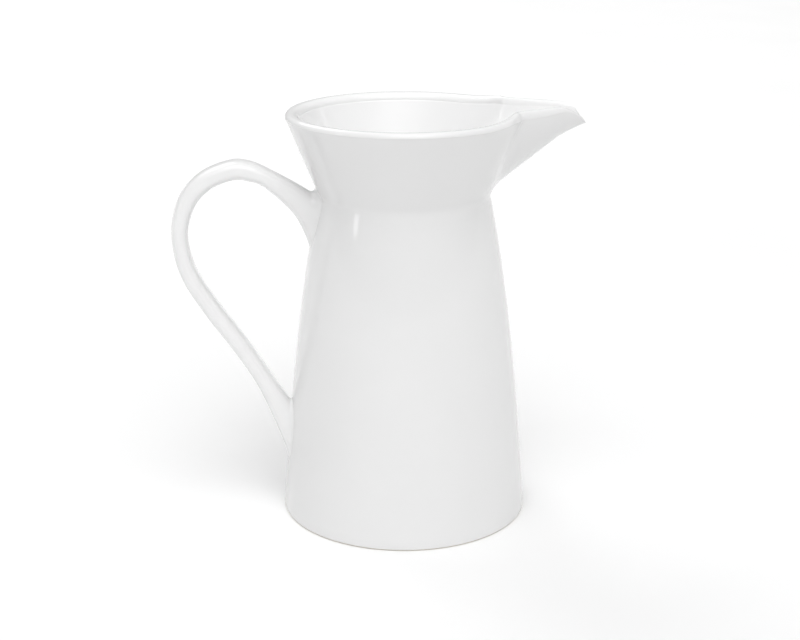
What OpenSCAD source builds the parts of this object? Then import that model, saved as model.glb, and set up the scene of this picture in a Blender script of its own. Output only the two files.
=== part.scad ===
// Waisted ceramic pitcher: a tapered body, a flared collar with a thickened rim,
// a beak spout and a strap handle luted to the body.
// Axes: +Z up from the rest plane, spout towards +X, handle towards -X.

/* [Body] */
// Height of the rim above the rest plane
rim_h = 230; // [226:0.5:236]
// Outer radius at the foot
base_r = 70; // [68:0.1:73]
// Height of the waist, where the collar starts
waist_h = 184.1; // [182:0.1:186]
// Outer radius at the waist
waist_r = 47.4; // [46:0.1:50]
// How far the wall bows out half-way between foot and waist
wall_bow = 3; // [1:0.1:4]
// How much fuller the bow is towards the waist than towards the foot
bow_skew = 0.6; // [0:0.1:1]
// Horizontal thickness of the body and collar walls
wall_t = 4.6; // [3.6:0.1:5.4]

/* [Foot and base] */
// Height of the bare foot ring, which is the depth of the recess under the base
foot_h = 3; // [2.5:0.1:4]
// Radial width of the bare foot ring
foot_w = 8.2; // [7:0.1:9]
// Rounding of the foot ring's outer edge
foot_round = 1.2; // [0.8:0.1:2]
// Rounding of the foot ring's inner edge
foot_in_round = 1; // [0.5:0.1:1.5]
// Thickness of the base disc
base_t = 5; // [4:0.1:6]
// Radius of the cove between floor and wall
cove_r = 7; // [4:0.5:9]

/* [Rim] */
// Outer radius of the rim
rim_r = 65.2; // [63:0.1:67]
// Width of the rim's edge, to which the collar's wall thickens
rim_w = 7.6; // [6.8:0.1:8.4]
// Rounding of the rim's outer corner
lip_out_r = 1.3; // [0.8:0.1:2]
// Rounding of the rim's inner corner
lip_in_r = 4; // [3:0.1:4.5]

/* [Spout] */
// Reach of the spout's virtual apex from the axis
apex_x = 108.9; // [106:0.1:112]
// Height of the spout's straight upper edges
edge_h = 232.6; // [231:0.1:234]
// Half-width the spout gains for each millimetre back from its apex
side_rate = 0.515; // [0.45:0.005:0.6]
// Depth the spout gains for each millimetre back from its apex
keel_rate = 0.757; // [0.74:0.001:0.78]
// Roundness of the spout's section: 1 is a V and 2 is an ellipse
keel_shape = 1.7; // [1.4:0.05:2]
// How far the channel's apex stands back from the outer apex
channel_back = 8.7; // [7:0.1:10]
// Distance from the axis at which the upper edges start to drop to the beak
beak_x = 86.5; // [84:0.5:90]
// Width of the blend between collar and spout
spout_blend = 4; // [2:0.5:6]
// Angle from the spout's middle at which its upper edges meet the rim
corner_angle = 26; // [22:0.5:30]
// Half-angle of the spout's piece of the collar
spout_half_angle = 55; // [50:1:62]

/* [Handle] */
// Width of the handle strap, from side to side
handle_w = 17; // [15:0.5:19]
// How much wider the strap gets at its roots, as a share of its width
root_flare = 0.08; // [0:0.01:0.2]
// Width of the slip fillet round each end of the handle
fillet_w = 2.5; // [2:0.5:4]
// Length of handle that each slip fillet climbs, as a share of one outline step
fillet_climb = 0.45; // [0.3:0.05:0.6]

/* [Hidden] */

glaze = "white";
bare_clay = "linen";

revolve_fn = 128;
wall_steps = 20;
arc_steps = 8;
lip_steps = 4;
spout_steps = 18;
spout_half_sections = 20;
// Above 1, the spout's sections crowd towards its middle
spout_crowding = 1.6;

// Radius the collar gains for each millimetre of height
collar_rate = (rim_r - waist_r) / (rim_h - lip_out_r - waist_h);

// The upper edges drop past beak_x, and the keel droops from a little before it:
// each as [factor, power] of the distance
edge_drop = [0.135, 1.5];
keel_drop = [0.1, 1.35];
keel_lead = 2.5;
// Near the nose the channel's edge is rounded less, and the wall thickens less towards it
nose_angle = 20;
nose_in_r = 2.5;
nose_thicker = 0.3;

// Handle outlines as [reach, height], from the upper root to the lower root;
// a root's reach is found on the body's wall
handle_outer = [[0, 183], [59.8, 190.9], [72, 197.7], [83.5, 203.3], [95.5, 204.4],
                [112.5, 197.5], [124.5, 183.5], [128.7, 163], [124.3, 140.2],
                [111.8, 118], [97.3, 97], [85, 77], [76.6, 58], [0, 33.5]];
handle_inner = [[0, 156], [61.2, 174], [76.6, 189.4], [85.5, 193.3], [94.5, 194],
                [106.5, 189.1], [115.3, 179.3], [119.5, 163], [115.5, 143.3],
                [103.9, 123.2], [89.4, 102.3], [76.4, 81.4], [69.5, 70.5], [0, 63]];
handle_last = len(handle_outer) - 1;
handle_rings = 44;
section_points = 28;
// 2 is an ellipse, and more is flatter, like a strap
section_power = 2.4;
// How much fuller the outer side of the strap is than its inner side, at the upper and the
// lower root, and how far the roots' shape reaches, in outline steps
root_egg = [0.4, 0.1];
root_reach = 1.6;
// Sizes of the rings inside each end face, which follow the body's round wall
end_shares = [0.1, 0.55];
fillet_steps = 5;

function arc(c, r, a0, a1, n) =
    [for (i = [0:n]) let (a = a0 + (a1 - a0) * i / n) c + r * [cos(a), sin(a)]];
function mix(a, b, t) = a + (b - a) * t;
function clamp01(t) = max(0, min(1, t));

// Outer radius of the body between the rest plane and the waist
function body_r(z) =
    let (t = z / waist_h)
    mix(base_r, waist_r, t) + 4 * wall_bow * t * (1 - t) * (1 + bow_skew * (t - 0.5));
// Outer and inner radius of the plain collar
function cone_r(z) = waist_r + collar_rate * (z - waist_h);
function cone_in_r(z) = cone_r(z) - wall_t;
// Section of the rim's top, from where the outer side ends to where the inner side starts
function lip(out_end, in_end, in_r) = concat(
    arc(out_end - [lip_out_r, 0], lip_out_r, 0, 90, lip_steps),
    arc(in_end + [in_r, 0], in_r, 90, 180, lip_steps));

// ---- Body ----

module foot_ring() {
    outer = body_r(foot_h);
    inner = outer - foot_w;
    color(bare_clay)
    rotate_extrude($fn = revolve_fn)
    polygon(concat(
        arc([outer - foot_round, foot_round], foot_round, -90, 0, arc_steps),
        [[outer, foot_h], [inner, foot_h]],
        arc([inner + foot_in_round, foot_in_round], foot_in_round, 180, 270, arc_steps)));
}

module base_disc() {
    floor_z = foot_h + base_t;
    edge_r = body_r(foot_h) - wall_t;
    cove_top = floor_z + cove_r;
    cove_c = [body_r(cove_top) - wall_t - cove_r, cove_top];
    color(glaze)
    rotate_extrude($fn = revolve_fn)
    polygon(concat(
        [[0, foot_h], [edge_r, foot_h]],
        arc(cove_c, cove_r, 0, -90, arc_steps),
        [[0, floor_z]]));
}

module body_wall() {
    cove_top = foot_h + base_t + cove_r;
    color(glaze)
    rotate_extrude($fn = revolve_fn)
    polygon(concat(
        [for (i = [0:wall_steps])
            let (z = mix(foot_h, waist_h, i / wall_steps)) [body_r(z), z]],
        [for (i = [0:wall_steps])
            let (z = mix(waist_h, cove_top, i / wall_steps)) [body_r(z) - wall_t, z]],
        [[body_r(foot_h) - wall_t, foot_h]]));
}

// ---- Collar ----

module collar_ring() {
    in_low = rim_h - lip_in_r;
    rotate_extrude($fn = revolve_fn)
    polygon(concat(
        [[waist_r - wall_t, waist_h], [waist_r, waist_h]],
        lip([rim_r, rim_h - lip_out_r], [rim_r - rim_w, in_low], lip_in_r)));
}

// The slice of the collar that the spout's piece takes up
module spout_slice() {
    reach = 2 * rim_r;
    translate([0, 0, waist_h - 1])
    linear_extrude(rim_h)
    polygon([[0, 0], reach * [cos(spout_half_angle), -sin(spout_half_angle)],
             reach * [cos(spout_half_angle), sin(spout_half_angle)]]);
}

module collar() {
    color(glaze)
    difference() {
        collar_ring();
        spout_slice();
    }
}

// ---- Spout ----

// Rounded maximum of two radii
function blend_max(a, b, w) = let (h = max(0, w - abs(a - b)) / w) max(a, b) + h * h * w / 4;
// How far the keel droops below its straight line towards the nose
function keel_droop(x) = keel_drop[0] * pow(max(0, x - beak_x + keel_lead), keel_drop[1]);
// Height of the upper edge at a distance x from the axis
function edge_z(x) = edge_h - edge_drop[0] * pow(max(0, x - beak_x), edge_drop[1]);
// Below zero inside the spout's cone, whose apex stands back from apex_x
function spout_side(x, y, z, back) =
    pow(abs(y) / side_rate, keel_shape)
    + pow(max(0, edge_h - z - keel_droop(x)) / keel_rate, keel_shape)
    - pow(max(0, apex_x - back - x), keel_shape);
// Radius at which a ray at angle a meets the spout's side at height z
function side_r(a, z, back, lo = 0, hi = 120, n = 24) =
    let (r = (lo + hi) / 2)
    n == 0 ? r
    : spout_side(r * cos(a), r * sin(a), z, back) < 0 ? side_r(a, z, back, r, hi, n - 1)
    : side_r(a, z, back, lo, r, n - 1);
// The same for the upper edge, whose height changes with the radius
function edge_r(a, back, lo = 0, hi = 120, n = 24) =
    let (r = (lo + hi) / 2, x = r * cos(a))
    n == 0 ? r
    : spout_side(x, r * sin(a), edge_z(x), back) < 0 ? edge_r(a, back, r, hi, n - 1)
    : edge_r(a, back, lo, r, n - 1);

function outer_r(a, z) = blend_max(cone_r(z), side_r(a, z, 0), spout_blend);
function inner_r(a, z) = blend_max(cone_in_r(z), side_r(a, z, channel_back), spout_blend);

// One closed section of the spout in the upright plane at angle a.
// Towards the collar it turns into the collar's own section.
function spout_section(a) =
    let (
        spout_share = 1 - clamp01((abs(a) - corner_angle) / (spout_half_angle - corner_angle)),
        collar_share = 1 - spout_share * spout_share,
        nose = edge_r(a, 0),
        channel = edge_r(a, channel_back),
        out_z = mix(edge_z(nose * cos(a)), rim_h, collar_share),
        in_z = mix(edge_z(channel * cos(a)), rim_h, collar_share),
        in_r = mix(nose_in_r, lip_in_r, clamp01(abs(a) / nose_angle)),
        out_low = out_z - lip_out_r,
        in_low = in_z - in_r,
        thicker = (rim_w - wall_t - collar_rate * (lip_in_r - lip_out_r))
                  * mix(nose_thicker, 1, collar_share),
        out_end = [outer_r(a, out_low), out_low],
        in_end = [inner_r(a, in_low) - thicker, in_low]
    )
    concat(
        [for (i = [0:spout_steps - 1])
            let (z = mix(waist_h, out_low, i / spout_steps)) [outer_r(a, z), z]],
        lip(out_end, in_end, in_r),
        [for (i = [1:spout_steps])
            let (t = i / spout_steps, z = mix(in_low, waist_h, t))
            [inner_r(a, z) - thicker * (1 - t), z]]);

module spout() {
    angles = [for (i = [-spout_half_sections:spout_half_sections])
        let (t = i / spout_half_sections)
        spout_half_angle * sign(t) * pow(abs(t), spout_crowding)];
    color(glaze)
    loft([for (a = angles)
        [for (p = spout_section(a)) [p.x * cos(a), p.x * sin(a), p.y]]]);
}

// ---- Handle ----

// Catmull-Rom curve through the stations of an outline
function curve_point(pts, u) =
    let (
        i = min(floor(u), len(pts) - 2),
        t = u - i,
        p1 = pts[i],
        p2 = pts[i + 1],
        p0 = i > 0 ? pts[i - 1] : 2 * p1 - p2,
        p3 = i + 2 < len(pts) ? pts[i + 2] : 2 * p2 - p1
    )
    0.5 * (2 * p1 + t * (p2 - p0) + t * t * (2 * p0 - 5 * p1 + 4 * p2 - p3)
           + t * t * t * (3 * p1 - p0 - 3 * p2 + p3));
// The outline with its two root stations put on the body's wall
function rooted(pts) = [for (p = pts) p.x == 0 ? [body_r(p.y), p.y] : p];
handle_outer_line = rooted(handle_outer);
handle_inner_line = rooted(handle_inner);

function strap(t) = sign(t) * pow(abs(t), 2 / section_power);
// Moves a point along X onto the body's wall on the handle's side
function on_wall(p) = let (r = body_r(p.z)) [-sqrt(r * r - p.y * p.y), p.y, p.z];
// Share of a root's shape at a distance d from it
function near_root(d) = pow(max(0, 1 - d / root_reach), 2);
// Ring of points round the handle at outline position u
function handle_ring(u) =
    let (
        o = curve_point(handle_outer_line, u),
        i = curve_point(handle_inner_line, u),
        near = [near_root(u), near_root(handle_last - u)],
        half_w = handle_w / 2 * (1 + root_flare * (near[0] + near[1]))
    )
    [for (k = [0:section_points - 1])
        let (
            across = strap(cos(360 * k / section_points)),
            along = strap(sin(360 * k / section_points)),
            m = (o + i) / 2 + (o - i) / 2 * across,
            p = [-m.x, -half_w * along * (1 + root_egg * near * across), m.y]
        )
        u == 0 || u == handle_last ? on_wall(p) : p];
// A root ring shrunk or grown on the wall, by a factor or by a margin
function centre(ring) = [for (k = [0:2]) [for (p = ring) p[k]] * [for (p = ring) 1] / len(ring)];
function shrunk(ring, share) = let (c = centre(ring)) [for (p = ring) on_wall(c + (p - c) * share)];
function grown(ring, w) =
    let (c = centre(ring))
    [for (p = ring) let (d = [0, p.y - c.y, p.z - c.z]) on_wall(p + d / norm(d) * w)];

module handle() {
    us = concat(
        [0],
        [for (i = [0:handle_rings])
            mix(fillet_climb, handle_last - fillet_climb, i / handle_rings)],
        [handle_last]);
    upper = handle_ring(0);
    lower = handle_ring(handle_last);
    color(glaze)
    loft(concat(
        [for (share = end_shares) shrunk(upper, share)],
        [for (u = us) handle_ring(u)],
        [for (i = [len(end_shares) - 1:-1:0]) shrunk(lower, end_shares[i])]));
}

// Concave slip fillet round one root of the handle: root ring u0, climbing to ring u1
module slip_fillet(u0, u1) {
    foot = handle_ring(u0);
    top = handle_ring(u1);
    skirt = grown(foot, fillet_w);
    round_trip = u0 < u1 ? [0:section_points - 1] : [section_points - 1:-1:0];
    color(glaze)
    loop_loft([for (k = round_trip) concat(
        [foot[k]],
        [for (i = [0:fillet_steps])
            let (t = i / fillet_steps)
            (1 - t) * (1 - t) * top[k] + 2 * t * (1 - t) * foot[k] + t * t * skirt[k]])]);
}

module upper_handle_joint() { slip_fillet(0, fillet_climb); }
module lower_handle_joint() { slip_fillet(handle_last, handle_last - fillet_climb); }

// ---- Lofts ----

// Two triangles between neighbouring points of rings r and s
function band(r, s, k, n) =
    let (a = r * n + k, b = r * n + (k + 1) % n, c = s * n + (k + 1) % n, d = s * n + k)
    [[a, b, c], [a, c, d]];

// Cap over a ring of n points that starts at point first, in strips between its two halves
function cap(first, n, forward) = [
    for (k = [0:ceil(n / 2) - 2])
        let (a = k, b = k + 1, c = n - 2 - k, d = n - 1 - k)
        for (f = b < c ? [[a, b, c], [a, c, d]] : [[a, b, d]])
            [for (m = forward ? [0, 1, 2] : [2, 1, 0]) first + f[m]]];

// Solid through a list of closed rings, with its two ends capped
module loft(rings) {
    n = len(rings[0]);
    last = len(rings) - 1;
    polyhedron(
        points = [for (ring = rings) each ring],
        faces = concat(
            cap(0, n, false),
            [for (r = [0:last - 1]) for (k = [0:n - 1]) each band(r, r + 1, k, n)],
            cap(last * n, n, true)));
}

// Ring-shaped solid whose last section joins its first
module loop_loft(rings) {
    n = len(rings[0]);
    count = len(rings);
    polyhedron(
        points = [for (ring = rings) each ring],
        faces = [for (r = [0:count - 1]) for (k = [0:n - 1]) each band(r, (r + 1) % count, k, n)]);
}

foot_ring();
base_disc();
body_wall();
collar();
spout();
handle();
upper_handle_joint();
lower_handle_joint();
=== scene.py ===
import math

import bpy
import numpy as np
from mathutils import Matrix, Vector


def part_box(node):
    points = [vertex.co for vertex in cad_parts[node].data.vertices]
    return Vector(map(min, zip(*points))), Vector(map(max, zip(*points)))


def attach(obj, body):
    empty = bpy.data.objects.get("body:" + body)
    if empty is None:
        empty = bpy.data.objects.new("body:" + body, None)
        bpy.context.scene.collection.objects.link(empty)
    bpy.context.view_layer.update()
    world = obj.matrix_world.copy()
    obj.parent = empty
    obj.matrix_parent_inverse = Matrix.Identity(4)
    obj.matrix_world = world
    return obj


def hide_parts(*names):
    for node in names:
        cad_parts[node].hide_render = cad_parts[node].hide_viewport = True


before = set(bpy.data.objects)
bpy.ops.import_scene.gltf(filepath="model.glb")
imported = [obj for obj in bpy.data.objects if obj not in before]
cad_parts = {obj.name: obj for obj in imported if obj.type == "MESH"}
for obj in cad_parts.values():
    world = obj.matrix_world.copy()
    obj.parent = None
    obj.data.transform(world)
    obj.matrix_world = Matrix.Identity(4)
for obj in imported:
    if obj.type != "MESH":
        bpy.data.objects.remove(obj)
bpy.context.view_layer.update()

# The looks of a white glazed pitcher, built round its CAD frame. Lengths are in metres and
# angles in degrees; an angle of 0 points along +X, at the spout.

# ---- Sizes: heights and reaches come from the frame ----
MM = 0.001
FOOT_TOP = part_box("foot_ring")[1][2]
WAIST_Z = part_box("collar")[0][2]
RIM_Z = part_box("collar")[1][2]
RIM_R = -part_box("collar")[0][0]
EDGE_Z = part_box("spout")[1][2]

BASE_R = 70 * MM
WAIST_R = 47.4 * MM
WALL_BOW = 3 * MM  # how far the wall bows out half-way up
BOW_SKEW = 0.6  # how much fuller the bow is towards the waist
WALL_T = 4.6 * MM
WAIST_SOFTNESS = 1.3 * MM  # how much the glaze fills the corner at the waist

FOOT_W = 8.2 * MM
FOOT_ROUND = 1.2 * MM
FOOT_IN_ROUND = 1.0 * MM
GLAZE_LINE = 0.9 * MM  # the glaze is wiped off the foot below this height
FLOOR_Z = FOOT_TOP + 5 * MM
COVE_R = 7 * MM

RIM_W = 7.6 * MM  # width of the rim's edge, towards which the collar's wall thickens
LIP_OUT_R = 2.5 * MM
LIP_IN_R = 4 * MM
LIP_CROWN = 0.12 * MM  # how far the top of the rim is crowned
COLLAR_RATE = (RIM_R - WAIST_R) / (RIM_Z - LIP_OUT_R - WAIST_Z)

# ---- Spout: a cone with a rounded V section, whose apex is past the nose ----
APEX_X = 108.9 * MM
SIDE_RATE = 0.515  # half-width gained for each metre back from the apex
KEEL_RATE = 0.757  # depth gained for each metre back from the apex
KEEL_SHAPE = 1.7  # 1 is a V and 2 is an ellipse
CHANNEL_BACK = 8.7 * MM  # how far the channel's apex stands back
BEAK_X = 86.5 * MM  # where the upper edges start to drop
KEEL_LEAD = 2.5 * MM  # the keel droops from this far before BEAK_X
# How the edges and the keel drop: factor and power of the distance in millimetres
EDGE_DROP = (0.135, 1.5)
KEEL_DROP = (0.1, 1.35)
CORNER_ANGLE = 26  # where the upper edges meet the rim
SPOUT_HALF_ANGLE = 55
SPOUT_BLEND = (5 * MM, 1.6 * MM)  # softness of the crease at the waist and at the rim
CHANNEL_BLEND = 4 * MM
SPOUT_OUT_R = 4.2 * MM  # the outer roll of the upper edges
NOSE_ANGLE = 14  # the edge is rounded less inside this angle
NOSE_OUT_R = 1.3 * MM
NOSE_IN_R = 2.5 * MM
NOSE_THICKER = 0.3  # share of the collar wall's thickening that the spout gets

# ---- Handle: outlines as [reach, height] in millimetres, from the upper root to the lower ----
HANDLE_OUTER = [(0, 183), (59.8, 190.9), (72, 197.7), (83.5, 203.3), (95.5, 204.4),
                (112.5, 197.5), (124.5, 183.5), (128.7, 163), (124.3, 140.2),
                (111.8, 118), (97.3, 97), (85, 77), (76.6, 58), (0, 33.5)]
HANDLE_INNER = [(0, 156), (61.2, 174), (76.6, 189.4), (85.5, 193.3), (94.5, 194),
                (106.5, 189.1), (115.3, 179.3), (119.5, 163), (115.5, 143.3),
                (103.9, 123.2), (89.4, 102.3), (76.4, 81.4), (69.5, 70.5), (0, 63)]
HANDLE_LAST = len(HANDLE_OUTER) - 1
HANDLE_W = 17 * MM
STRAP_POWER = 2.8  # 2 is an ellipse, and more is flatter
HANDLE_PAINTED_LIGHT = 0.3  # how much lighter the handle is painted, as painted light that lifts it out of its shade: 0 as the outside, 1 as the inside
ROOT_FLARE = (0.06, 0.1)  # how much the strap widens at its upper and its lower root
ROOT_EGG = (0.4, 0.1)  # how much fuller the outer side is than the inner side there
ROOT_REACH = 1.6  # how far the widening reaches, in outline steps
ROOT_CLIMB = 0.45  # where the slip fillets end, as a share of one outline step
SUNK = 0.4 * MM  # how deep the fillets' hidden ends sit inside the wall's face

# ---- Fineness of the meshes ----
OUTSIDE_ROWS = 56
INSIDE_ROWS = 52
LIP_OUT_STEPS = 14
LIP_IN_STEPS = 12
SPOUT_STEPS = 96  # from the middle of the spout to its side
COLLAR_STEPS = 160
STRAP_STEPS = 200
STRAP_POINTS = 64  # round the strap
FILLET_STEPS = 24
WAIST_ZONE = 6 * MM  # rows lie closer together within this distance under the waist
WAIST_ZONE_START = 5.5 * MM


# ---- Curves and blends ----
def mix(a, b, t):
    return a + (b - a) * t


def blend_max(a, b, w):
    """Larger of a and b, rounded over a width w."""
    h = np.maximum(0, w - np.abs(a - b)) / w
    return np.maximum(a, b) + h * h * w / 4


def arc(centre, radii, a0, a1, steps):
    """Points on an ellipse's arc, as a list of [x, z]."""
    turn = np.radians(np.linspace(a0, a1, steps + 1))
    return [(centre[0] + radii[0] * math.cos(t), centre[1] + radii[1] * math.sin(t)) for t in turn]


# ---- Outer and inner radius of the vessel at an angle a and a height z ----
def body_line(z):
    t = z / WAIST_Z
    return mix(BASE_R, WAIST_R, t) + 4 * WALL_BOW * t * (1 - t) * (1 + BOW_SKEW * (t - 0.5))


def collar_line(z):
    return WAIST_R + COLLAR_RATE * (z - WAIST_Z)


def keel_droop(x):
    factor, power = KEEL_DROP
    return factor * MM * np.maximum(0, (x - BEAK_X + KEEL_LEAD) / MM) ** power


def edge_line(x):
    """Height of the spout's upper edge at a distance x from the axis."""
    factor, power = EDGE_DROP
    return EDGE_Z - factor * MM * np.maximum(0, (x - BEAK_X) / MM) ** power


def spout_reach(a, z, back):
    """Radius at which rays at angles a leave the spout's cone at heights z. With no heights,
    they leave it at its upper edge. It is 0 outside the spout's own piece of the collar."""
    c, s = np.cos(np.radians(a)), np.sin(np.radians(a))
    beyond, halvings = 120 * MM, 40
    low = np.zeros(np.broadcast(a, 0 if z is None else z).shape)
    high = low + beyond
    for _ in range(halvings):
        r = (low + high) / 2
        x, y = r * c, r * s
        depth = EDGE_Z - (edge_line(x) if z is None else z) - keel_droop(x)
        inside = ((np.abs(y) / SIDE_RATE) ** KEEL_SHAPE
                  + (np.maximum(0, depth) / KEEL_RATE) ** KEEL_SHAPE
                  < np.maximum(0, APEX_X - back - x) ** KEEL_SHAPE)
        low, high = np.where(inside, r, low), np.where(inside, high, r)
    return np.where(c < math.cos(math.radians(SPOUT_HALF_ANGLE + 1)), 0, (low + high) / 2)


def aslant(a):
    """How much longer than square across its edge an upright cut through the spout is."""
    a = min(abs(a), SPOUT_HALF_ANGLE - 1)
    ahead, behind = spout_reach(a + 1, None, 0), spout_reach(a - 1, None, 0)
    return math.hypot(1, (ahead - behind) / (ahead + behind) / math.radians(1))


def outer_line(a, z):
    """Outer radius of the whole wall, with the corner at the waist softened."""
    share = np.clip((z - WAIST_Z) / (RIM_Z - WAIST_Z), 0, 1)
    flare = blend_max(collar_line(z), spout_reach(a, z, 0), mix(*SPOUT_BLEND, share))
    return blend_max(body_line(z), flare, WAIST_SOFTNESS)


def inner_line(a, z):
    flare = blend_max(collar_line(z) - WALL_T, spout_reach(a, z, CHANNEL_BACK), CHANNEL_BLEND)
    return blend_max(body_line(z) - WALL_T, flare, WAIST_SOFTNESS)


# ---- Meshes ----
def new_piece(name, verts, faces, node_names, materials, face_slots=None, painted_light_share=(0,)):
    """A piece of the jug. The last list says how much lighter each point of one section is
    painted, from 0 to 1: painted light inside the jug and painted shade outside."""
    mesh = bpy.data.meshes.new(name)
    mesh.from_pydata([tuple(v) for v in verts], [], faces)
    # painted light and shade: each point's share of the lighter inside tone, read by the glaze
    # material
    painted_light_attr = mesh.attributes.new("painted_light_and_shade", "FLOAT", "POINT")
    painted_light_attr.data.foreach_set("value", np.tile(painted_light_share, len(verts) // len(painted_light_share)))
    for material in materials:
        mesh.materials.append(material)
    if face_slots is not None:
        mesh.polygons.foreach_set("material_index", face_slots)
    mesh.polygons.foreach_set("use_smooth", [True] * len(mesh.polygons))
    mesh.set_sharp_from_angle(angle=math.radians(40))
    mesh.validate()
    piece = bpy.data.objects.new(name, mesh)
    bpy.context.scene.collection.objects.link(piece)
    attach(piece, "root")
    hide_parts(*node_names)
    return piece


def ladder(ring, flip):
    """Strips that fill a closed ring of points, between its two halves."""
    n = len(ring)
    faces = []
    for k in range((n + 1) // 2 - 1):
        face = [ring[k], ring[k + 1], ring[n - 2 - k], ring[n - 1 - k]]
        if face[1] == face[2]:
            face.pop(2)
        faces.append(face[::-1] if flip else face)
    return faces


def loft(sections, closed):
    """Points and faces through a list of rings with as many points each. It either closes
    on itself or gets two end faces."""
    count, n = len(sections), len(sections[0])
    verts = np.concatenate(sections)
    faces = []
    for s in range(count if closed else count - 1):
        t = (s + 1) % count
        for k in range(n):
            m = (k + 1) % n
            faces.append([s * n + k, t * n + k, t * n + m, s * n + m])
    if not closed:
        faces += ladder(list(range(n)), flip=False)
        faces += ladder(list(range((count - 1) * n, count * n)), flip=True)
    return verts, faces


def upright(section, a):
    """A section of [radius, height] points, stood in the upright plane at angle a."""
    r, z = np.array(section).T
    return np.column_stack([r * math.cos(math.radians(a)), r * math.sin(math.radians(a)), z])


def spread(low, high, steps, ease=1.0):
    """Rising values from low to high, closer together near low if ease is over 1. One extra
    near each end keeps the shading true where two pieces meet."""
    t = np.linspace(0, 1, steps + 1) ** ease
    near = 0.004
    return mix(low, high, np.sort(np.concatenate([t, [near, 1 - near]])))


HALF_SPOUT = spread(0, SPOUT_HALF_ANGLE, SPOUT_STEPS, 1.5)
SPOUT_ANGLES = np.concatenate([-HALF_SPOUT[:0:-1], HALF_SPOUT])
COLLAR_ANGLES = spread(SPOUT_HALF_ANGLE, 360 - SPOUT_HALF_ANGLE, COLLAR_STEPS)
ALL_ANGLES = np.concatenate([SPOUT_ANGLES, COLLAR_ANGLES[1:-1]])


def glazed_base(glaze):
    """The floor with its cove, and the glazed recess under it."""
    cove_top = FLOOR_Z + COVE_R
    wall = body_line(cove_top) - WALL_T
    rim = body_line(FOOT_TOP) - WALL_T
    hub = 0.6 * MM
    section = ([(hub, FOOT_TOP), (rim / 2, FOOT_TOP), (rim, FOOT_TOP)]
               + [(mix(rim, wall, t), mix(FOOT_TOP, cove_top, t)) for t in (0.33, 0.67)]
               + arc((wall - COVE_R, cove_top), (COVE_R, COVE_R), 0, -90, 12)
               + [(wall - COVE_R - 0.2 * MM, FLOOR_Z), (rim / 2, FLOOR_Z), (hub, FLOOR_Z)])
    verts, faces = loft([upright(section, a) for a in ALL_ANGLES], closed=True)
    n = len(section)
    # Round the axis the ring's inner wall is swapped for two flat centre faces
    faces = [f for f in faces if not {f[0] % n, f[2] % n} == {0, n - 1}]
    ring = [s * n for s in range(len(ALL_ANGLES))]
    faces.append(ring[::-1])
    faces.append([k + n - 1 for k in ring])
    # painted light: the recess under the floor keeps the darker outside tone, and the floor and
    # cove inside are painted lighter
    painted_light_share = np.repeat([0, 1], [3, n - 3])
    return new_piece("glazed_base", verts, faces, ["base_disc"], [glaze],
                     painted_light_share=painted_light_share)


def bare_foot(glaze, bare):
    """The ring that the jug stands on, glazed on its sides and bare underneath."""
    outer, inner = body_line(FOOT_TOP), body_line(FOOT_TOP) - FOOT_W
    section = (arc((outer - FOOT_ROUND, FOOT_ROUND), (FOOT_ROUND, FOOT_ROUND), -90, 0, 10)
               + [(outer, 2 * MM), (outer, FOOT_TOP), (inner, FOOT_TOP), (inner, 2 * MM)]
               + arc((inner + FOOT_IN_ROUND, FOOT_IN_ROUND),
                     (FOOT_IN_ROUND, FOOT_IN_ROUND), 180, 270, 8))
    verts, faces = loft([upright(section, a) for a in ALL_ANGLES], closed=True)
    heights = [np.mean([verts[k][2] for k in f]) for f in faces]
    slots = [1 if z < GLAZE_LINE else 0 for z in heights]
    return new_piece("bare_foot", verts, faces, ["foot_ring"], [glaze, bare], slots)


def body_shell(glaze):
    cove_top = FLOOR_Z + COVE_R
    zone_low, zone_start = WAIST_Z - WAIST_ZONE, WAIST_Z - WAIST_ZONE_START
    up = np.concatenate([spread(FOOT_TOP, zone_low, 56), np.linspace(zone_start, WAIST_Z, 16)])
    down = np.concatenate([np.linspace(WAIST_Z, zone_start, 12), spread(zone_low, cove_top, 44)])
    angles = ALL_ANGLES[:, None]
    outer, inner = outer_line(angles, up[None]), inner_line(angles, down[None])
    foot = body_line(FOOT_TOP) - WALL_T
    sections = [upright(list(zip(ro, up)) + list(zip(ri, down)) + [(foot, FOOT_TOP)], a)
                for a, ro, ri in zip(ALL_ANGLES, outer, inner)]
    verts, faces = loft(sections, closed=True)
    # painted light and shade: the outside of the wall is painted darker and the inside lighter
    painted_light_share = np.repeat([0, 1, 0], [len(up), len(down), 1])
    return new_piece("body_shell", verts, faces, ["body_wall"], [glaze],
                     painted_light_share=painted_light_share)


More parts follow.
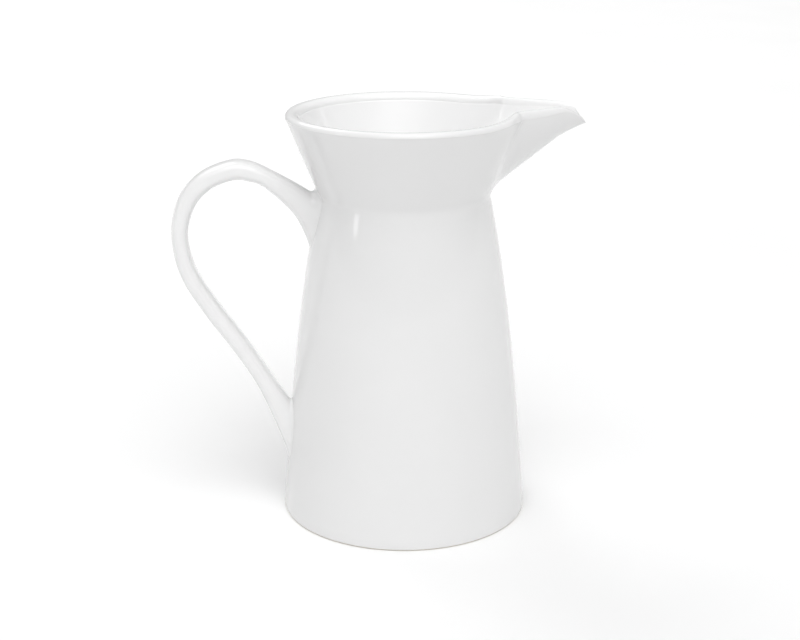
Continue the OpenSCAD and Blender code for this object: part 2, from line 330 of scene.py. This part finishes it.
def rim_section(a):
    """The closed section of the wall above the waist at angle a: up the outside, over the
    lip, and down the inside."""
    t = np.clip((abs(a) - CORNER_ANGLE) / (SPOUT_HALF_ANGLE - CORNER_ANGLE), 0, 1)
    collar_share = 1 - (1 - t) ** 2
    nose, channel = spout_reach(a, None, 0), spout_reach(a, None, CHANNEL_BACK)
    cos_a = math.cos(math.radians(a))
    out_z = mix(edge_line(nose * cos_a), RIM_Z, collar_share)
    in_z = mix(edge_line(channel * cos_a), RIM_Z, collar_share)
    nose_share = max(0, 1 - abs(a) / NOSE_ANGLE)
    out_r = mix(mix(SPOUT_OUT_R, NOSE_OUT_R, nose_share), LIP_OUT_R, min(1, 2 * collar_share))
    in_r = mix(LIP_IN_R, NOSE_IN_R, nose_share)
    stretch = mix(aslant(a), 1, max(collar_share, nose_share))
    out_low, in_low = out_z - out_r, in_z - in_r
    thicker = RIM_W - WALL_T - COLLAR_RATE * (LIP_IN_R - LIP_OUT_R)
    thicker *= mix(NOSE_THICKER, 1, collar_share)
    up = spread(WAIST_Z, out_low, OUTSIDE_ROWS)
    down = spread(in_low, WAIST_Z, INSIDE_ROWS)
    out_x = float(outer_line(a, np.array([out_low]))[0])
    inside = inner_line(a, down) - thicker * (down - WAIST_Z) / (in_low - WAIST_Z)
    in_x = float(inside[0])
    out_a, in_a = out_r * stretch, in_r * stretch
    width = out_x - in_x
    squeeze = min(1, 0.9 * width / (out_a + in_a))
    out_a, in_a = out_a * squeeze, in_a * squeeze
    lip = (arc((out_x - out_a, out_low), (out_a, out_r), 0, 90, LIP_OUT_STEPS)
           + arc((in_x + in_a, in_low), (in_a, in_r), 90, 180, LIP_IN_STEPS))
    crowned = [(x, z + LIP_CROWN * (math.sin(math.pi * (out_x - x) / width) - 1)) for x, z in lip]
    return (list(zip(outer_line(a, up[:-1]), up[:-1])) + crowned
            + list(zip(inside[1:], down[1:])))


def lip_shares(section):
    """How far each point of a rim section is round the lip, from 0 outside to 1 inside."""
    outer_end = OUTSIDE_ROWS + 1
    lip_length = LIP_OUT_STEPS + LIP_IN_STEPS + 2
    count = np.arange(len(section))
    return np.clip((count - outer_end) / lip_length, 0, 1)


def collar_flare(glaze):
    sections = [upright(rim_section(180), a) for a in COLLAR_ANGLES]
    verts, faces = loft(sections, closed=False)
    return new_piece("collar_flare", verts, faces, ["collar"], [glaze],
                     # painted light and shade: the tone runs from the darker outside over the lip
                     # to the lighter inside
                     painted_light_share=lip_shares(sections[0]))


def spout_beak(glaze):
    sections = [upright(rim_section(a), a) for a in SPOUT_ANGLES]
    verts, faces = loft(sections, closed=False)
    return new_piece("spout_beak", verts, faces, ["spout"], [glaze],
                     # painted light and shade: the tone runs from the darker outside over the lip
                     # to the lighter inside
                     painted_light_share=lip_shares(sections[0]))


# ---- Handle ----
def rooted(outline):
    """The outline in metres, with its two root stations put on the body's wall."""
    points = np.array(outline) * MM
    for row in (0, -1):
        points[row, 0] = body_line(points[row, 1])
    return points


def curve_point(points, u):
    """Catmull-Rom curve through the stations of an outline."""
    i = min(int(u), len(points) - 2)
    t = u - i
    p1, p2 = points[i], points[i + 1]
    p0 = points[i - 1] if i > 0 else 2 * p1 - p2
    p3 = points[i + 2] if i + 2 < len(points) else 2 * p2 - p1
    return 0.5 * (2 * p1 + t * (p2 - p0) + t * t * (2 * p0 - 5 * p1 + 4 * p2 - p3)
                  + t ** 3 * (3 * p1 - p0 - 3 * p2 + p3))


OUTER_LINE, INNER_LINE = rooted(HANDLE_OUTER), rooted(HANDLE_INNER)
STRAP_TURN = np.linspace(0, 2 * math.pi, STRAP_POINTS, endpoint=False)


def on_wall(points, depth=0.0):
    """Points moved along X onto the outside of the wall, or to a depth inside it."""
    moved = points.copy()
    r = outer_line(180, points[:, 2]) - depth
    moved[:, 0] = -np.sqrt(r * r - points[:, 1] ** 2)
    return moved


def strap_ring(u):
    """Ring of points round the strap at outline position u."""
    o, i = curve_point(OUTER_LINE, u), curve_point(INNER_LINE, u)
    c, s = np.cos(STRAP_TURN), np.sin(STRAP_TURN)
    across = np.sign(c) * np.abs(c) ** (2 / STRAP_POWER)
    along = np.sign(s) * np.abs(s) ** (2 / STRAP_POWER)
    middle = (o + i) / 2 + np.outer(across, (o - i) / 2)
    upper, lower = (max(0, 1 - d / ROOT_REACH) ** 2 for d in (u, HANDLE_LAST - u))
    flare = 1 + ROOT_FLARE[0] * upper + ROOT_FLARE[1] * lower
    egg = 1 + (ROOT_EGG[0] * upper + ROOT_EGG[1] * lower) * across
    return np.column_stack([-middle[:, 0], -HANDLE_W / 2 * flare * along * egg, middle[:, 1]])


def handle_strap(glaze):
    rings = [strap_ring(u) for u in spread(ROOT_CLIMB, HANDLE_LAST - ROOT_CLIMB, STRAP_STEPS)]
    verts, faces = loft(rings, closed=False)
    return new_piece("handle_strap", verts, faces, ["handle"], [glaze],
                     painted_light_share=(HANDLE_PAINTED_LIGHT,))


def slip_fillet(name, node, root, climb, width, swell, glaze):
    """The flared end of the handle: it leaves the strap along the strap's own line and
    runs out flat on the wall, over a width that swells towards the strap's outer side."""
    top = strap_ring(climb)
    step = 0.02 * (1 if root > climb else -1)
    run = (strap_ring(climb + step) - top) / 0.02
    foot = on_wall(strap_ring(root))
    centre = foot.mean(axis=0)
    out = foot - centre
    out[:, 0] = 0
    out /= np.linalg.norm(out, axis=1)[:, None]
    outer_side = np.maximum(0, np.cos(STRAP_TURN))[:, None] ** 2
    run_out = out * width * (1 + swell * outer_side)
    skirt = on_wall(foot + run_out)
    reach = np.linalg.norm(foot - top, axis=1)[:, None]
    run /= np.linalg.norm(run, axis=1)[:, None]
    lean = top + run * reach * 0.55
    flat = on_wall(skirt - run_out * (0.8 - 0.45 * outer_side * min(1, swell)))
    t_values = spread(0, 1, FILLET_STEPS)
    rings = [(1 - t) ** 3 * top + 3 * t * (1 - t) ** 2 * lean + 3 * t * t * (1 - t) * flat
             + t ** 3 * skirt for t in t_values]
    rings.append(on_wall(skirt, SUNK))
    for share in (0.5, 0.1):
        rings.append(on_wall(centre + (skirt - centre) * share, SUNK))
    if root < climb:
        rings = rings[::-1]
    verts, faces = loft(rings, closed=False)
    return new_piece(name, verts, faces, [node], [glaze], painted_light_share=(HANDLE_PAINTED_LIGHT,))


# ---- Materials ----
# Share of light that the glaze gives back outside and where it is painted lighter, inside the jug:
# painted shade outside and painted light inside, on one white glaze. Both are set to match the
# photo's tones, and how thick the real glaze is isn't known.
PAINTED_GLAZE_WHITES = (0.77, 0.95)


def node_material(name):
    material = bpy.data.materials.new(name)
    material.use_nodes = True
    nodes, links = material.node_tree.nodes, material.node_tree.links
    return material, nodes, links, nodes["Principled BSDF"]


def noise(nodes, links, coordinates, scale, detail, seed_offset=(0, 0, 0)):
    place = nodes.new("ShaderNodeMapping")
    place.inputs["Location"].default_value = seed_offset
    links.new(coordinates, place.inputs["Vector"])
    texture = nodes.new("ShaderNodeTexNoise")
    texture.inputs["Scale"].default_value = scale
    texture.inputs["Detail"].default_value = detail
    links.new(place.outputs["Vector"], texture.inputs["Vector"])
    return texture.outputs["Fac"]


def ramp(nodes, links, value, stops):
    """Colour ramp from a list of (position, colour)."""
    node = nodes.new("ShaderNodeValToRGB")
    bands = node.color_ramp.elements
    while len(bands) < len(stops):
        bands.new(0.5)
    for band, (position, colour) in zip(bands, stops):
        band.position = position
        band.color = (*colour, 1)
    links.new(value, node.inputs["Fac"])
    return node.outputs["Color"]


def span(nodes, links, value, low, high):
    """A value between 0 and 1 stretched to run from low to high."""
    node = nodes.new("ShaderNodeMapRange")
    node.inputs["To Min"].default_value = low
    node.inputs["To Max"].default_value = high
    links.new(value, node.inputs["Value"])
    return node.outputs["Result"]


def bump(nodes, links, height, distance, strength, below=None):
    node = nodes.new("ShaderNodeBump")
    node.inputs["Distance"].default_value = distance
    node.inputs["Strength"].default_value = strength
    links.new(height, node.inputs["Height"])
    if below is not None:
        links.new(below, node.inputs["Normal"])
    return node.outputs["Normal"]


def white_glaze():
    """Clear gloss glaze over white porcelain, painted whiter inside the jug and on part of the
    handle as painted light, and darker outside as painted shade: a faint mottle in its tone, a
    slow waviness and a very fine orange peel."""
    material, nodes, links, shader = node_material("white_glaze")
    where = nodes.new("ShaderNodeTexCoord").outputs["Object"]
    painted_light_attr = nodes.new("ShaderNodeAttribute")
    painted_light_attr.attribute_name = "painted_light_and_shade"
    mottle = span(nodes, links, noise(nodes, links, where, 22, 3), 0.985, 1.015)
    tone = nodes.new("ShaderNodeMath")
    tone.operation = "MULTIPLY"
    # painted light and shade: the tone runs from the darker outside to the lighter inside, times
    # the mottle
    links.new(span(nodes, links, painted_light_attr.outputs["Fac"], *PAINTED_GLAZE_WHITES), tone.inputs[0])
    links.new(mottle, tone.inputs[1])
    links.new(tone.outputs["Value"], shader.inputs["Base Color"])
    smears = noise(nodes, links, where, 35, 2, (3, 1, 2))
    links.new(span(nodes, links, smears, 0.04, 0.08), shader.inputs["Roughness"])
    shader.inputs["IOR"].default_value = 1.5
    waves = noise(nodes, links, where, 28, 1, (7, 4, 5))
    slow = bump(nodes, links, waves, 0.4 * MM, 0.35)
    peel = noise(nodes, links, where, 600, 2, (1, 8, 3))
    links.new(bump(nodes, links, peel, 0.02 * MM, 0.35, slow), shader.inputs["Normal"])
    return material


def bare_clay():
    """Unglazed fired clay, matt, slightly warm and finely grained."""
    material, nodes, links, shader = node_material("bare_clay")
    where = nodes.new("ShaderNodeTexCoord").outputs["Object"]
    grain = noise(nodes, links, where, 900, 4)
    tone = ramp(nodes, links, grain, [(0.3, (0.62, 0.58, 0.52)), (0.7, (0.74, 0.71, 0.65))])
    links.new(tone, shader.inputs["Base Color"])
    shader.inputs["Roughness"].default_value = 0.85
    links.new(bump(nodes, links, grain, 0.08 * MM, 0.6), shader.inputs["Normal"])
    return material


def pale_floor():
    material, nodes, links, shader = node_material("pale_floor")
    where = nodes.new("ShaderNodeTexCoord").outputs["Object"]
    clouds = noise(nodes, links, where, 3, 2)
    tone = ramp(nodes, links, clouds, [(0.3, (0.91, 0.91, 0.91)), (0.7, (0.93, 0.93, 0.93))])
    links.new(tone, shader.inputs["Base Color"])
    shader.inputs["Roughness"].default_value = 0.9
    return material


# ---- Stage, light and camera ----
ROOM_LIGHT = 0.43
CEILING_LIGHT = 2.7  # at the middle of the bright patch of the ceiling
CEILING_PATCH = (-84.5, 58)  # azimuth and elevation of its middle
CEILING_EDGES = (10, 40)  # angles from its middle between which it fades into the room
# Soft boxes: name, azimuth, elevation, width and height, and radiance
SOFT_BOXES = [("key_box", -84.5, 58, (3, 3), 1.1),
              ("back_box", 120, 45, (3, 3), 2.2),
              ("left_strip", -159.7, 13, (0.6, 1.8), 3.0),
              ("right_strip", 13, 13, (0.6, 1.8), 1.0)]
BOX_DISTANCE = 5.2
FLOOR_HALF = 6.0

CAMERA_PLACE = (-0.0829, -0.8352, 0.3827)
CAMERA_DOWN = 17.975  # how far the camera looks down
CAMERA_TURN = -5.5
CAMERA_LENS = 69.96


def studio_floor():
    mesh = bpy.data.meshes.new("studio_floor")
    corners = [(-1, -1), (1, -1), (1, 1), (-1, 1)]
    mesh.from_pydata([(FLOOR_HALF * x, FLOOR_HALF * y, 0) for x, y in corners],
                     [], [(0, 1, 2, 3)])
    mesh.materials.append(pale_floor())
    floor = bpy.data.objects.new("studio_floor", mesh)
    bpy.context.scene.collection.objects.link(floor)


def direction(azimuth, elevation):
    """Unit vector that points at an azimuth and an elevation."""
    a, e = math.radians(azimuth), math.radians(elevation)
    return (math.cos(e) * math.cos(a), math.cos(e) * math.sin(a), math.sin(e))


def studio_light():
    """A pale room with a bright patch of ceiling, a large soft box high in front and another
    behind, and a narrow one low on each side."""
    world = bpy.data.worlds.new("studio")
    world.use_nodes = True
    nodes, links = world.node_tree.nodes, world.node_tree.links
    facing = nodes.new("ShaderNodeVectorMath")
    facing.operation = "DOT_PRODUCT"
    links.new(nodes.new("ShaderNodeTexCoord").outputs["Generated"], facing.inputs[0])
    facing.inputs[1].default_value = direction(*CEILING_PATCH)
    ceiling = span(nodes, links, facing.outputs["Value"], ROOM_LIGHT, CEILING_LIGHT)
    ceiling.node.inputs["From Min"].default_value = math.cos(math.radians(CEILING_EDGES[1]))
    ceiling.node.inputs["From Max"].default_value = math.cos(math.radians(CEILING_EDGES[0]))
    links.new(ceiling, nodes["Background"].inputs["Strength"])
    nodes["Background"].inputs["Color"].default_value = (1, 1, 1, 1)
    bpy.context.scene.world = world
    for box in SOFT_BOXES:
        soft_box(*box)


def soft_box(name, azimuth, elevation, size, radiance):
    """A rectangular light that faces the jug from a direction."""
    lamp = bpy.data.lights.new(name, "AREA")
    lamp.shape = "RECTANGLE"
    lamp.size, lamp.size_y = size
    lamp.energy = radiance * math.pi * size[0] * size[1]
    box = bpy.data.objects.new(name, lamp)
    x, y, z = direction(azimuth, elevation)
    box.location = (BOX_DISTANCE * x, BOX_DISTANCE * y, WAIST_Z + BOX_DISTANCE * z)
    box.rotation_euler = (math.radians(90 - elevation), 0, math.radians(azimuth + 90))
    bpy.context.scene.collection.objects.link(box)


def camera():
    lens = bpy.data.cameras.new("camera")
    lens.sensor_width = 36
    lens.lens = CAMERA_LENS
    view = bpy.data.objects.new("camera", lens)
    view.location = CAMERA_PLACE
    view.rotation_euler = (math.radians(90 - CAMERA_DOWN), 0, math.radians(CAMERA_TURN))
    bpy.context.scene.collection.objects.link(view)
    bpy.context.scene.camera = view


glaze_material, clay_material = white_glaze(), bare_clay()
bare_foot(glaze_material, clay_material)
glazed_base(glaze_material)
body_shell(glaze_material)
collar_flare(glaze_material)
spout_beak(glaze_material)
handle_strap(glaze_material)
slip_fillet("upper_handle_slip", "upper_handle_joint", 0, ROOT_CLIMB, 2 * MM, 2.5,
            glaze_material)
slip_fillet("lower_handle_slip", "lower_handle_joint", HANDLE_LAST,
            HANDLE_LAST - ROOT_CLIMB, 3.5 * MM, 0, glaze_material)

studio_floor()
studio_light()
camera()
bpy.context.scene.view_settings.view_transform = "Standard"
